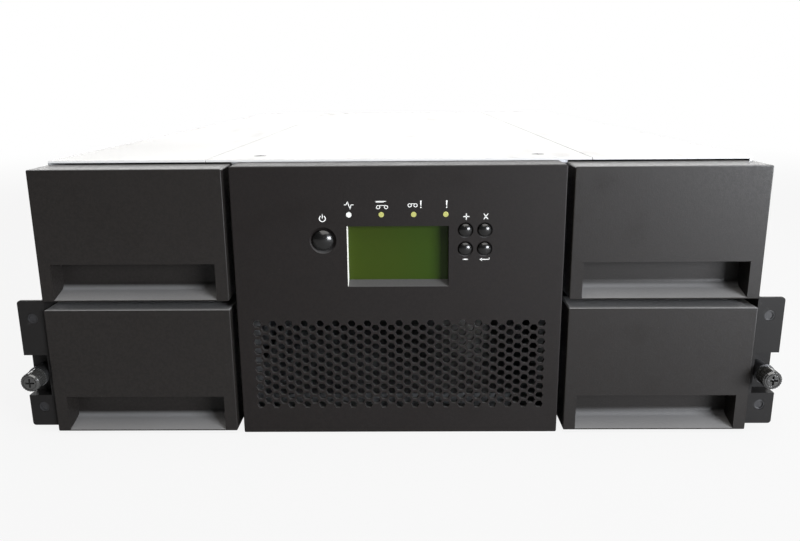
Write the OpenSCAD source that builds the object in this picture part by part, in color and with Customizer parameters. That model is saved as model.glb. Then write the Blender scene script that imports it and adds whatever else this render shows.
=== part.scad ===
// Data tape library, four rack units high, as separate assembled pieces.
// Millimetres, +Z up. Drawn with the magazine fronts at y = 0 and the front facing -Y,
// then moved so that the middle of the whole length is at y = 0.

/* [Case] */
// Width of the sheet metal case
case_w = 445; // [444:0.5:446]
// Height of the case
case_h = 175.5; // [175:0.5:176.5]
// Length of the case, front sheet to rear sheet
case_len = 745; // [742:1:775]
// Thickness of the case sheets
sheet = 1.5; // [1.2:0.1:1.6]
// Width of the middle top cover
cover_w = 244; // [230:2:260]

/* [Front] */
// How far the fronts of the magazines stand before the case
bezel_depth = 27; // [25:0.5:29]
// Width of one magazine front
bezel_w = 117.8; // [116:0.2:118.4]
// Height of one magazine front
bezel_h = 82.75; // [81:0.25:84]
// Wall thickness of the plastic fronts
skin = 3; // [2.4:0.1:3.2]
// Width of the middle fascia
fascia_w = 204.2; // [202:0.2:206]
// How far the fascia is set back from the magazine fronts
set_back = 1.5; // [0.5:0.5:2]
// Rounding of the front edges
edge_r = 0.8; // [0.4:0.1:0.9]

/* [Handle recess] */
// Width of a handle recess
recess_w = 102.2; // [90:0.2:106]
// Depth of a handle recess
recess_d = 15.5; // [12:0.5:18]
// Height of a handle recess
recess_h = 23; // [18:0.5:26]
// Rise of the recess floor from front to back
recess_rise = 4; // [2:0.5:5]

/* [Display and keys] */
// Width of the display window
window_w = 62.6; // [58:0.2:64]
// Height of the display window
window_h = 38.3; // [34:0.1:39]
// Diameter of the power button
power_d = 12.6; // [11:0.1:13]
// Diameter of the small keys
key_d = 7.8; // [7:0.1:8.2]
// Travel of a button
key_travel = 1; // [0.6:0.1:1.2]
// Diameter of the signal lamps
lamp_d = 3.3; // [3:0.1:3.6]

/* [Grille] */
// Width across the flats of a grille hole
hole_flat = 4.5; // [3.6:0.1:4.6]
// Spacing of the grille columns
hole_step = 5; // [4.8:0.05:5.1]
// Spacing of the holes in a column
hole_rise = 6.1; // [5.8:0.05:6.2]

/* [Rack ears] */
// Width over both rack ears
ear_span = 482.6; // [481:0.2:483]
// Thickness of the ear sheet
ear_t = 2; // [1.6:0.1:2.4]
// Diameter of the rack screw holes
ear_hole_d = 6.8; // [6.2:0.1:7.2]
// Diameter of the thumbscrew knob
knob_d = 12; // [11:0.2:13]
// How far the knobs stand before the magazine fronts
knob_reach = 11.5; // [10:0.5:13]

/* [Magazines] */
// Wall thickness of the magazine frames
rib = 2; // [1.6:0.1:2.2]
// Spacing of the cartridge columns
column_step = 108; // [107:0.25:108.5]
// Spacing of the cartridge rows
row_step = 25.5; // [25:0.1:25.5]

/* [Rear] */
// Length of the handles at the rear
handle_reach = 38; // [30:1:45]
// Thickness of the handle bars
handle_t = 8; // [6:0.5:10]
// Radius of the cooling fans
fan_r = 18; // [15:0.5:18.4]

/* [Hidden] */
$fn = 96;
rear_y = bezel_depth + case_len;
y_mid = (rear_y + handle_reach - knob_reach) / 2;
half_w = case_w / 2;
in_w = half_w - sheet;
in_top = case_h - sheet;
inner = 106;            // aisle side of the magazine fronts
low_z = 2;              // underside of the lower magazines
up_step = 88.2;         // from the lower to the upper magazines
frame_in = 108;         // aisle side of a magazine frame
frame_out = 219.5;      // outer side of a magazine frame
cell_y = 31.5;          // front face of the first divider
floor_up = 6.7;         // slot floor above the underside of a magazine
frame_h = 81;
cart_l = 105.4;         // cartridge length, across the library
cart_w = 102;           // cartridge width, along the library
cart_h = 21.5;
fascia_top = 174;
corner_r = 1.5;         // rounding of the corners of the fronts
window_x = -0.3;
window_z = 117.95;
glass_y = set_back + 7;
board_y = 18;
power_x = -46.2;
power_z = 128.4;
key_x = 47;             // middle of the four small keys
key_z = 128.55;
key_dx = 5.9;
key_dz = 5.85;
lamp_x = [-30, -10.2, 9.5, 29];
lamp_z = 144.3;
grille_z = 47.1;
ear_y = 2.5;
ear_in = 224.5;
ear_x = 232.55;         // line of the rack holes
ear_low = 5.3;
ear_high = 90.4;
pocket_low = 26.4;
pocket_high = 54;
pocket_y = 12.5;
hole_low = 18.2;
hole_high = 78.525;
screw_z = 40.4;
rest_y = 440;           // picker axis with the carriage at the rear
post_x = 98;
post_y = 40;
pitch_r = 9;            // pinion pitch radius, twelve teeth of module 1.5
teeth = 12;
tooth_step = 2 * PI * pitch_r / teeth;
rack_x = 83;            // pitch line of the toothed rack
rack_y = 156;           // front end of the toothed rack
pinion_y = rest_y + 89;
sled_w = 160;
sled_h = 84;
sled_step = 86;
sled_y = rear_y - 226;
supply_l = -219;
supply_r = -121;
supply_h = 48;
supply_step = 50;
supply_y = rear_y - 210;
plate_y = rear_y + 0.3; // inner face of the rear face plates

// ---- drawing aids ----

module from_front() translate([0, -y_mid, 0]) children();

module box(x0, x1, y0, y1, z0, z1) translate([x0, y0, z0]) cube([x1 - x0, y1 - y0, z1 - z0]);

// A drawing in x and z, made thick from y0 to y1.
module slab(y0, y1) translate([0, y1, 0]) rotate([90, 0, 0]) linear_extrude(y1 - y0) children();

// A drawing in y and z, drawn out from x0 to x1.
module along_x(x0, x1) translate([x0, 0, 0]) rotate([90, 0, 90]) linear_extrude(x1 - x0) children();

// A round bar along y.
module rod(x, z, r, y0, y1) translate([x, y1, z]) rotate([90, 0, 0]) cylinder(r = r, h = y1 - y0);

// A round bar along x.
module cross_rod(x0, x1, y, z, r) translate([x0, y, z]) rotate([0, 90, 0]) cylinder(r = r, h = x1 - x0);

// A cone along y, with radius ra at ya and rb at yb.
module cone(x, z, ra, rb, ya, yb) translate([x, yb, z]) rotate([90, 0, 0]) cylinder(r1 = rb, r2 = ra, h = yb - ya);

module area(x0, x1, z0, z1) translate([x0, z0]) square([x1 - x0, z1 - z0]);

module round_area(x0, x1, z0, z1, r) {
    area(x0 + r, x1 - r, z0, z1);
    area(x0, x1, z0 + r, z1 - r);
    for (x = [x0 + r, x1 - r], z = [z0 + r, z1 - r]) translate([x, z]) circle(r);
}

module both_sides() {
    children();
    mirror([1, 0, 0]) children();
}

// What a rounding takes off a corner at the origin of a block that fills the third quadrant.
module corner_cut(r) difference() {
    translate([-r, -r]) square(r + 1);
    translate([-r, -r]) circle(r);
}

// What is cut off a block to round its four front edges and the four corners of its front.
module front_cuts(x0, x1, y0, y1, z0, z1, r, corner) {
    along_x(x0 - 1, x1 + 1) {
        translate([y0, z1]) rotate(90) corner_cut(r);
        translate([y0, z0]) rotate(180) corner_cut(r);
    }
    translate([0, 0, z0 - 1]) linear_extrude(z1 - z0 + 2) {
        translate([x0, y0]) rotate(180) corner_cut(r);
        translate([x1, y0]) rotate(270) corner_cut(r);
    }
    slab(y0 - 1, y1 + 1) {
        translate([x1, z1]) corner_cut(corner);
        translate([x0, z1]) rotate(90) corner_cut(corner);
        translate([x0, z0]) rotate(180) corner_cut(corner);
        translate([x1, z0]) rotate(270) corner_cut(corner);
    }
}

// ---- case ----

module chassis_base() color("gainsboro") from_front() difference() {
    box(-half_w, half_w, bezel_depth, rear_y, 0, sheet);
    for (i = [0:7], x = [-190, 120]) box(x, x + 70, 560 + 20 * i, 566 + 20 * i, -1, sheet + 1);
}

module side_wall() difference() {
    box(in_w, half_w, bezel_depth, rear_y, sheet, in_top);
    for (i = [0:11], z = [34, 106]) box(in_w - 1, half_w + 1, 540 + 16 * i, 545 + 16 * i, z, z + 40);
    for (y = [42, 60], z = [20, 75]) cross_rod(in_w - 1, half_w + 1, y, z, 2.1);
}

module side_wall_right() color("gainsboro") from_front() side_wall();

module side_wall_left() color("gainsboro") from_front() mirror([1, 0, 0]) side_wall();

module rear_panel() color("silver") from_front() slab(rear_y - sheet, rear_y) difference() {
    area(-in_w, in_w, sheet, in_top);
    area(-80.8, 80.8, 1.8, 172.8);
    area(-117.2, -84.8, 6, 168);
    area(supply_l - 0.7, supply_r + 0.7, 1.9, 101);
    for (i = [0:9], k = [0:1]) area(-212 + 9 * i, -208 + 9 * i, 110 + 28 * k, 132 + 28 * k);
    for (i = [0:12], k = [0:4]) area(96 + 9 * i, 100 + 9 * i, 12 + 31 * k, 37 + 31 * k);
}

// Walls and shelves that hold the drives, the controller and the supplies.
module rear_cage() color("silver") from_front() {
    both_sides() box(81.3, 82.5, sled_y + 4, rear_y - sheet, sheet, in_top);
    box(-81.3, 81.3, sled_y + 4, rear_y - sheet, 86.8, 87.8);
    box(-119.7, -118.3, sled_y + 14, rear_y - sheet, sheet, in_top);
    for (z = [50.8, 100.8]) box(-in_w, -119.7, supply_y, rear_y - sheet, z, z + 1);
}

module cover_points() for (x = [-92.3, 92.3], y = [53, rear_y - 12]) translate([x, y, 0]) children();

module top_cover() color("gainsboro") from_front() difference() {
    box(-cover_w / 2, cover_w / 2, bezel_depth, rear_y, in_top, case_h);
    cover_points() translate([0, 0, in_top - 1]) cylinder(r = 4.1, h = sheet + 2);
}

module top_side_panels() color("gainsboro") from_front() both_sides()
    box(cover_w / 2 + 0.4, half_w, bezel_depth, rear_y, in_top, case_h);

module cover_screws() color("dimgray") from_front() cover_points() {
    difference() {
        translate([0, 0, in_top]) cylinder(r = 4, h = sheet);
        translate([-2.5, -0.5, case_h - 0.9]) cube([5, 1, 2]);
        translate([-0.5, -2.5, case_h - 0.9]) cube([1, 5, 2]);
    }
    translate([0, 0, in_top - 2.4]) cylinder(r = 1.8, h = 2.6);
}

// Shelf, posts and end wall of both magazine bays.
module magazine_bays() color("silver") from_front() both_sides() {
    box(inner, in_w, 30, 470, low_z + up_step - 2, low_z + up_step - 0.5);
    for (y = [30, 246, 462]) box(inner, inner + 1.4, y, y + 5, sheet, in_top);
    box(inner, in_w, 470, 471.5, sheet, in_top);
}

module front_frame() color("silver") from_front() difference() {
    union() {
        box(-105.4, 105.4, bezel_depth, bezel_depth + 1.5, sheet, in_top);
        both_sides() box(104.2, 105.4, bezel_depth, 40, sheet + 2.2, in_top);
        box(-105.4, 105.4, bezel_depth, 64, in_top - 1.5, in_top);
    }
    box(-62, 62, bezel_depth - 1, 31, 86, 156);
    box(-93, 93, bezel_depth - 1, 31, 16, 78);
    for (x = [-92.3, 92.3]) translate([x, 53, in_top - 3]) cylinder(r = 1.9, h = 5);
}

// ---- middle fascia ----

module grille_holes() for (i = [-18:18], k = [0:(i % 2 == 0 ? 9 : 8)])
    translate([i * hole_step, grille_z + (k - (i % 2 == 0 ? 4.5 : 4)) * hole_rise])
        circle(r = hole_flat / 2 / cos(30), $fn = 6);

module key_points() for (i = [-1, 1], k = [-1, 1]) translate([key_x + i * key_dx, key_z + k * key_dz]) children();

module fascia_face() difference() {
    area(-fascia_w / 2, fascia_w / 2, 0, fascia_top);
    grille_holes();
    key_points() circle(key_d / 2 + 0.3);
    translate([power_x, power_z]) circle(power_d / 2 + 0.3);
    for (x = lamp_x) translate([x, lamp_z]) circle(lamp_d / 2 + 0.05);
}

module fascia_posts() for (x = [-55, 55], z = [112, 151]) translate([x, z]) children();

module front_bezel() color("#2b2a29") from_front() difference() {
    union() {
        slab(set_back, set_back + skin) fascia_face();
        slab(set_back + skin, bezel_depth) difference() {
            area(-fascia_w / 2, fascia_w / 2, 0, fascia_top);
            area(2.5 - fascia_w / 2, fascia_w / 2 - 2.5, 2.5, fascia_top - 2.5);
        }
        slab(set_back + skin, glass_y) area(window_x - 35, window_x + 35, window_z - 22, window_z + 22);
        slab(set_back + skin, board_y) fascia_posts() circle(3);
    }
    front_cuts(-fascia_w / 2, fascia_w / 2, set_back, bezel_depth, 0, fascia_top, edge_r, corner_r);
    along_x(window_x - window_w / 2, window_x + window_w / 2) polygon([
        [set_back - 0.1, window_z - window_h / 2], [glass_y + 0.1, window_z - window_h / 2 + 3],
        [glass_y + 0.1, window_z + window_h / 2], [set_back - 0.1, window_z + window_h / 2]]);
    cone(power_x, power_z, 8.3, power_d / 2 + 0.5, set_back - 0.05, set_back + 1.4);
    for (i = [-1, 1], k = [-1, 1])
        cone(key_x + i * key_dx, key_z + k * key_dz, 4.85, key_d / 2 + 0.4, set_back - 0.05, set_back + 0.8);
}

module display_glass() color("#6f8f3a") from_front() slab(glass_y, glass_y + 1.8)
    area(window_x - 34.2, window_x + 34.2, window_z - 21, window_z + 21);

module display_module() color("darkseagreen") from_front() {
    slab(glass_y, glass_y + 1.8) difference() {
        area(window_x - 36, window_x + 36, window_z - 22.5, window_z + 22.5);
        area(window_x - 34.2, window_x + 34.2, window_z - 21, window_z + 21);
    }
    slab(glass_y + 1.8, glass_y + 4.6) area(window_x - 36, window_x + 36, window_z - 22.5, window_z + 22.5);
    for (i = [0:9]) box(-31 + 6 * i, -28 + 6 * i, glass_y + 4.6, board_y, 98, 100);
}

module control_board() color("seagreen") from_front() {
    slab(board_y, board_y + 1.6) area(-59, 59, 92, 154);
    for (i = [-1, 1], k = [-1, 1]) slab(board_y - 2.6, board_y) translate([key_x + i * key_dx, key_z + k * key_dz])
        square(5, center = true);
    slab(board_y - 2.6, board_y) translate([power_x, power_z]) square(6, center = true);
    for (x = [-44, -16, 14, 40]) box(x - 6, x + 6, board_y + 1.6, board_y + 3.6, 103, 115);
}

module lamp(x) {
    rod(x, lamp_z, lamp_d / 2, set_back - 0.3, board_y);
    rod(x, lamp_z, lamp_d / 2 + 0.7, set_back + skin + 0.2, set_back + skin + 2);
}

module ready_led() color("whitesmoke") from_front() lamp(lamp_x[0]);

module status_leds() color("khaki") from_front() for (i = [1:3]) lamp(lamp_x[i]);

// A button that runs back through the fascia and stops before its switch.
module button(x, z, r, proud, stem) {
    rod(x, z, r, set_back - proud, set_back + skin + 2);
    rod(x, z, r + 0.9, set_back + skin + 0.3, set_back + skin + 2);
    rod(x, z, stem, set_back + skin + 2, board_y - 2.8 - key_travel);
}

module power_button() color("#3a3938") from_front() button(power_x, power_z, power_d / 2, 0.4, 2.5);

module plus_key() color("#3a3938") from_front()
    button(key_x - key_dx, key_z + key_dz, key_d / 2, 0.6, 1.8);

module cancel_key() color("#3a3938") from_front()
    button(key_x + key_dx, key_z + key_dz, key_d / 2, 0.6, 1.8);

module minus_key() color("#3a3938") from_front()
    button(key_x - key_dx, key_z - key_dz, key_d / 2, 0.6, 1.8);

module enter_key() color("#3a3938") from_front()
    button(key_x + key_dx, key_z - key_dz, key_d / 2, 0.6, 1.8);

// ---- rack ears ----

module rack_ear() difference() {
    union() {
        slab(ear_y, ear_y + ear_t) round_area(ear_in, ear_span / 2, ear_low, pocket_low, 2);
        slab(ear_y, ear_y + ear_t) round_area(ear_in, ear_span / 2, pocket_high, ear_high, 2);
        box(ear_in, ear_span / 2, ear_y, pocket_y + ear_t, pocket_low - ear_t, pocket_low);
        box(ear_in, ear_span / 2, ear_y, pocket_y + ear_t, pocket_high, pocket_high + ear_t);
        box(ear_in, ear_span / 2, pocket_y, pocket_y + ear_t, pocket_low - ear_t, pocket_high + ear_t);
        box(ear_in, ear_in + ear_t, ear_y, 30, ear_low, ear_high);
        box(half_w, ear_in, 28, 74, ear_low, ear_high);
    }
    for (z = [hole_low, hole_high]) rod(ear_x, z, ear_hole_d / 2, 0, 10);
    rod(ear_x, screw_z, 4.6, 10, 16);
    for (y = [42, 60], z = [20, 75]) cross_rod(half_w - 1, ear_in + 1, y, z, 2.1);
}

module rack_ear_right() color("#1d1d1e") from_front() rack_ear();

module rack_ear_left() color("#1d1d1e") from_front() mirror([1, 0, 0]) rack_ear();

module ear_screws() color("dimgray") from_front() both_sides() for (y = [42, 60], z = [20, 75]) {
    difference() {
        cross_rod(ear_in, ear_in + 1.9, y, z, 3.6);
        box(ear_in + 0.9, ear_in + 2, y - 2.4, y + 2.4, z - 0.45, z + 0.45);
        box(ear_in + 0.9, ear_in + 2, y - 0.45, y + 0.45, z - 2.4, z + 2.4);
    }
    cross_rod(in_w - 0.6, ear_in + 0.1, y, z, 2);
}

module screw_ferrules() color("silver") from_front() both_sides() difference() {
    union() {
        rod(ear_x, screw_z, knob_d / 2 + 0.5, -0.2, 1.6);
        rod(ear_x, screw_z, knob_d / 2 - 0.6, -0.2, pocket_y);
        rod(ear_x, screw_z, 4.5, pocket_y - 1, pocket_y + ear_t + 1);
    }
    rod(ear_x, screw_z, 3.25, -1, 18);
}

module thumbscrew() difference() {
    union() {
        slab(-knob_reach + 1, -0.8) translate([ear_x, screw_z]) difference() {
            circle(knob_d / 2);
            for (i = [0:23]) rotate(15 * i) translate([knob_d / 2 + 0.2, 0]) rotate(45) square(0.8, center = true);
        }
        cone(ear_x, screw_z, knob_d / 2 - 1, knob_d / 2 - 0.4, -knob_reach, -knob_reach + 1);
        rod(ear_x, screw_z, 3.2, -1, 16);
        rod(ear_x, screw_z, 3, 15.9, 34);
    }
    difference() {
        rod(ear_x, screw_z, knob_d / 2 + 1, -4.6, -3.7);
        rod(ear_x, screw_z, knob_d / 2 - 0.9, -4.7, -3.6);
    }
    difference() {
        rod(ear_x, screw_z, 4.3, -knob_reach - 1, -knob_reach + 0.5);
        rod(ear_x, screw_z, 3.9, -knob_reach - 2, -knob_reach + 1);
    }
    box(ear_x - 3, ear_x + 3, -knob_reach - 1, -knob_reach + 2.6, screw_z - 0.6, screw_z + 0.6);
    box(ear_x - 0.6, ear_x + 0.6, -knob_reach - 1, -knob_reach + 2.6, screw_z - 3, screw_z + 3);
}

module thumbscrew_right() color("#222222") from_front() thumbscrew();

module thumbscrew_left() color("#222222") from_front() mirror([1, 0, 0]) thumbscrew();

// ---- magazines, drawn for the right side ----

// Side section of the handle recess: sloping floor, rounded into the back wall.
module recess_section(z) {
    lean = atan(recess_rise / (recess_d - 1.5));
    cy = recess_d - 5;
    cz = z + 1 + cy * tan(lean) + 5 / cos(lean);
    polygon([[-1, z + 1 - tan(lean)], [cy + 5 * sin(lean), cz - 5 * cos(lean)], [recess_d, cz],
        [recess_d, z + 1 + recess_h], [-1, z + 1 + recess_h]]);
    translate([cy, cz]) circle(5);
}

module bezel(z) {
    x0 = inner + (bezel_w - recess_w) / 2;
    difference() {
        union() {
            difference() {
                box(inner, inner + bezel_w, 0, bezel_depth, z, z + bezel_h);
                box(inner + skin, inner + bezel_w - skin, skin, bezel_depth + 1, z + skin, z + bezel_h - skin);
            }
            box(x0 - 2.5, x0 + recess_w + 2.5, 0.5, recess_d + 2.5, z, z + recess_h + 3.5);
        }
        along_x(x0, x0 + recess_w) recess_section(z);
        front_cuts(inner, inner + bezel_w, 0, bezel_depth, z, z + bezel_h, edge_r, corner_r);
    }
}

// Frame of the slots of columns first to 3, with its underside at z.
module magazine_frame(first, z) {
    y0 = cell_y + first * column_step;
    y1 = cell_y + 4 * column_step + rib;
    difference() {
        box(frame_out - rib, frame_out, y0, y1, z, z + frame_h);
        for (c = [first:3], r = [0:2]) box(frame_out - rib - 1, frame_out + 1, cell_y + c * column_step + 34,
            cell_y + c * column_step + 76, z + 9 + r * row_step, z + 24 + r * row_step);
    }
    for (c = [first:4]) box(frame_in, frame_out, cell_y + c * column_step, cell_y + c * column_step + rib, z, z + frame_h);
    for (r = [0:2]) difference() {
        box(frame_in + 0.6, frame_out, y0, y1, z + floor_up - rib + r * row_step, z + floor_up + r * row_step);
        for (c = [first:3]) {
            box(frame_in, frame_in + 24, cell_y + c * column_step + 37, cell_y + c * column_step + 73, z, z + frame_h);
            translate([170, cell_y + c * column_step + 55, z]) cylinder(r = 22, h = frame_h);
        }
    }
}

// Front plate that carries the bezel.
module magazine_nose(z, y1) difference() {
    box(frame_in, frame_out, bezel_depth, y1, z + 1.5, z + frame_h);
    box(frame_in + 20, frame_out - 20, bezel_depth - 1, bezel_depth + 1, z + 12, z + frame_h - 12);
}

module cartridge() difference() {
    box(0, cart_l, -cart_w / 2, cart_w / 2, 0, cart_h);
    box(-1, 0.6, -40, 40, 4.5, 17);
    box(1.8, 6.5, cart_w / 2 - 2, cart_w / 2 + 1, 4, 17.5);
    box(1.8, 6.5, -cart_w / 2 - 1, -cart_w / 2 + 2, 4, 17.5);
    translate([56, 0, -1]) cylinder(r = 9, h = 3);
    box(40, 96, -36, 36, cart_h - 0.5, cart_h + 1);
}

module cartridges(first, z) for (c = [first:3], r = [0:2])
    translate([frame_in + 2, cell_y + rib / 2 + (c + 0.5) * column_step, z + floor_up + r * row_step]) cartridge();

module full_frame(z) {
    magazine_frame(0, z);
    magazine_nose(z, cell_y + 1);
}

module upper_right_bezel() color("#2b2a29") from_front() bezel(low_z + up_step);

module upper_right_frame() color("#5a5c5e") from_front() full_frame(low_z + up_step);

module upper_right_cartridges() color("#33363a") from_front() cartridges(0, low_z + up_step);

module lower_right_bezel() color("#2b2a29") from_front() bezel(low_z);

module lower_right_frame() color("#5a5c5e") from_front() full_frame(low_z);

module lower_right_cartridges() color("#33363a") from_front() cartridges(0, low_z);

module upper_left_bezel() color("#2b2a29") from_front() mirror([1, 0, 0]) bezel(low_z + up_step);

module upper_left_frame() color("#5a5c5e") from_front() mirror([1, 0, 0]) full_frame(low_z + up_step);

module upper_left_cartridges() color("#33363a") from_front() mirror([1, 0, 0]) cartridges(0, low_z + up_step);

// The lower left magazine has only three columns; two runners carry the front one.
module lower_left_frame() color("#5a5c5e") from_front() mirror([1, 0, 0]) {
    magazine_frame(1, low_z);
    for (x = [114, 204]) box(x, x + 8, 30, cell_y + column_step + 1, low_z, low_z + 2);
}

module lower_left_cartridges() color("#33363a") from_front() mirror([1, 0, 0]) cartridges(1, low_z);

module io_station_bezel() color("#2b2a29") from_front() mirror([1, 0, 0]) bezel(low_z);

// Front column of slots, open to the aisle; it slides out alone as the mail slot.
module io_station_carrier() color("#5a5c5e") from_front() mirror([1, 0, 0]) {
    z = low_z;
    y1 = cell_y + column_step - 1;
    box(frame_in, frame_out, bezel_depth, bezel_depth + rib, z + 2.5, z + frame_h);
    box(frame_in, frame_out, y1 - rib, y1, z + 2.5, z + frame_h);
    box(frame_out - rib, frame_out, bezel_depth, y1, z + 2.5, z + frame_h);
    for (r = [0:2]) difference() {
        box(frame_in + 0.6, frame_out, bezel_depth, y1, z + floor_up - rib + r * row_step, z + floor_up + r * row_step);
        box(frame_in, frame_in + 24, 65, 101, z, z + frame_h);
    }
}

// ---- picker ----

module aisle_rails() color("silver") from_front() both_sides() {
    box(90, 105.4, 42, rest_y + 104, sheet, sheet + 2);
    box(104.2, 105.4, 42, rest_y + 104, sheet, sheet + 12);
}

// Outline of the toothed rack: a straight back and teeth towards the pinion.
module rack_outline() {
    y1 = rest_y + 104;
    polygon(concat([[rack_x + 5, rack_y], [rack_x + 5, y1], [rack_x + 1.9, y1]],
        [for (k = [2:-1:-79], p = [[1.9, 1.85], [-1, 0.81], [-1, -0.81], [1.9, -1.85]])
            [rack_x + p[0], pinion_y + (k + 0.5) * tooth_step + p[1]]],
        [[rack_x + 1.9, rack_y]]));
}

module drive_rack() color("dimgray") from_front() translate([0, 0, sheet]) linear_extrude(7.5) rack_outline();

function inv_deg(a) = tan(a) * 180 / PI - a;
function half_deg(r) = 90 / teeth - 0.6 + inv_deg(20) - inv_deg(acos(min(1, pitch_r * cos(20) / r)));
flank = [7.2, 8.4573, 8.7, 9, 9.4, 9.8, 10.2, 10.5];

module pinion_outline() {
    circle(7.3);
    for (k = [0:teeth - 1]) rotate(k * 360 / teeth) polygon(concat(
        [for (r = flank) [r * cos(half_deg(r)), r * sin(half_deg(r))]],
        [for (i = [7:-1:0]) [flank[i] * cos(half_deg(flank[i])), -flank[i] * sin(half_deg(flank[i]))]]));
}

module carriage_pinion() color("goldenrod") from_front() translate([rack_x - pitch_r, pinion_y, 0]) {
    translate([0, 0, 4.2]) linear_extrude(4.8) pinion_outline();
    translate([0, 0, 4.2]) cylinder(r = 2, h = 14);
}

// Two beams joined at the rear, with four lift posts tied together at the top.
module carriage_frame() color("slategray") from_front() translate([0, rest_y, 0]) difference() {
    union() {
        both_sides() box(89.5, 103.2, -54, 99, 4, 12);
        box(-103.2, 103.2, 79, 99, 9.5, 12);
        both_sides() for (y = [-post_y, post_y]) translate([post_x, y, 5]) cylinder(r = 3, h = 165.5);
        both_sides() box(94.6, 103.2, -54, 99, 169.5, 171);
        box(-103.2, 103.2, 89, 99, 169.5, 171);
        both_sides() box(94.6, 103.2, 93, 99, 11, 171);
    }
    translate([rack_x - pitch_r, 89, 0]) cylinder(r = 2.06, h = 20);
}

module carriage_motor() color("dimgray") from_front() translate([rack_x - pitch_r, pinion_y, 12]) {
    difference() {
        cylinder(r = 10, h = 26);
        translate([0, 0, -1]) cylinder(r = 2.06, h = 8);
    }
    translate([0, 0, 26]) cylinder(r = 3.5, h = 2);
}

module lift_platform() color("lightslategray") from_front() translate([0, rest_y, 0]) difference() {
    union() {
        box(-80, 80, -52, 52, 2.2, 4);
        both_sides() for (y = [-post_y, post_y]) {
            box(77.5, 80, y - 8, y + 8, 2.2, 21);
            box(77.5, 103.2, y - 8, y + 8, 13, 21);
        }
    }
    cylinder(r = 8.06, h = 10);
    both_sides() for (y = [-post_y, post_y]) translate([post_x, y, 0]) cylinder(r = 3.06, h = 30);
    for (a = [45:90:315]) rotate(a) translate([42, 0, 0]) cylinder(r = 12, h = 10);
}

module turntable() color("lightsteelblue") from_front() translate([0, rest_y, 0]) {
    box(-57.5, 57.5, -46, 46, 4.3, 6);
    both_sides() box(56, 57.5, -46, 46, 4.3, 11);
    translate([0, 0, 2.4]) cylinder(r = 8, h = 2.5);
}

module picker_tray() color("#44484c") from_front() translate([0, rest_y, 0]) difference() {
    union() {
        box(-55.5, 55.5, -54, 54, 6.3, 8.3);
        both_sides() box(53.5, 55.5, -54, 54, 6.3, 28);
    }
    box(-20, 20, -60, -30, 5, 10);
    for (y = [-36, 4]) box(50, 60, y, y + 30, 13, 23);
}

module gripper() color("orange") from_front() translate([0, rest_y, 0]) {
    box(-52.7, 52.7, 44, 53.5, 8.6, 27);
    both_sides() {
        box(51.2, 52.7, 32, 45, 12, 22);
        box(49.6, 52.7, 32, 34, 12, 22);
    }
}

module barcode_reader() color("#1a1a1a") from_front() translate([0, rest_y, 0]) difference() {
    box(-16, 16, 38, 44, 12, 25);
    box(-13, 13, 37, 40, 15, 22);
}

// ---- rear modules ----

module rear_handle(x, z, span, reach) {
    for (s = [-1, 1]) box(x + s * span / 2 - handle_t / 2, x + s * span / 2 + handle_t / 2, plate_y + 1,
        rear_y + reach, z - handle_t / 2, z + handle_t / 2);
    box(x - span / 2, x + span / 2, rear_y + reach - handle_t, rear_y + reach, z - handle_t / 2, z + handle_t / 2);
}

// A tray open at the top, with the face plate, its handle and two interface sockets.
module drive_sled(z) translate([0, 0, z]) difference() {
    union() {
        box(-sled_w / 2, sled_w / 2, sled_y, rear_y + 1, 0, 1.2);
        both_sides() box(sled_w / 2 - 1.2, sled_w / 2, sled_y, rear_y + 1, 0, sled_h);
        slab(plate_y, plate_y + 2) round_area(-82.4, 82.4, -0.6, sled_h + 0.6, 1);
        rear_handle(0, 30, 70, handle_reach);
        for (x = [-75, 75], zz = [8, sled_h - 8]) rod(x, zz, 4.5, plate_y + 1, plate_y + 9);
        box(-66, -24, rear_y - 14, rear_y + 1, 54, 72);
    }
    for (x = [-62, -43]) box(x, x + 15, rear_y - 11, rear_y + 5, 58, 67);
    for (i = [0:7]) box(4 + 8 * i, 8 + 8 * i, rear_y - 1, rear_y + 5, 48, 76);
    both_sides() for (i = [0:4]) box(sled_w / 2 - 3, sled_w / 2 + 1, sled_y + 30 + 36 * i, sled_y + 50 + 36 * i, 24, 64);
}

module drive_unit(z) translate([0, 0, z]) difference() {
    box(-73, 73, sled_y + 3, rear_y - 20, 1.2, 83.2);
    box(-71.8, 71.8, sled_y + 5, rear_y - 21.2, 2.4, 82);
    box(-53.5, 53.5, sled_y + 2, sled_y + 6, 27, 51);
    for (i = [-4:4]) box(14 * i - 4, 14 * i + 4, rear_y - 22, rear_y - 18, 10, 26);
}

module drive_slot(z) translate([0, 0, z]) difference() {
    box(-55, 55, sled_y + 4.9, sled_y + 70, 25.6, 52.4);
    box(-53.5, 53.5, sled_y + 4, sled_y + 68, 27, 51);
}

module lower_drive_sled() color("lightgray") from_front() drive_sled(2.3);

module upper_drive_sled() color("lightgray") from_front() drive_sled(2.3 + sled_step);

module lower_drive() color("darkgray") from_front() {
    drive_unit(2.3);
    drive_slot(2.3);
}

module upper_drive() color("darkgray") from_front() {
    drive_unit(2.3 + sled_step);
    drive_slot(2.3 + sled_step);
}

fan_x = -196;
inlet_x = -148;

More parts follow.
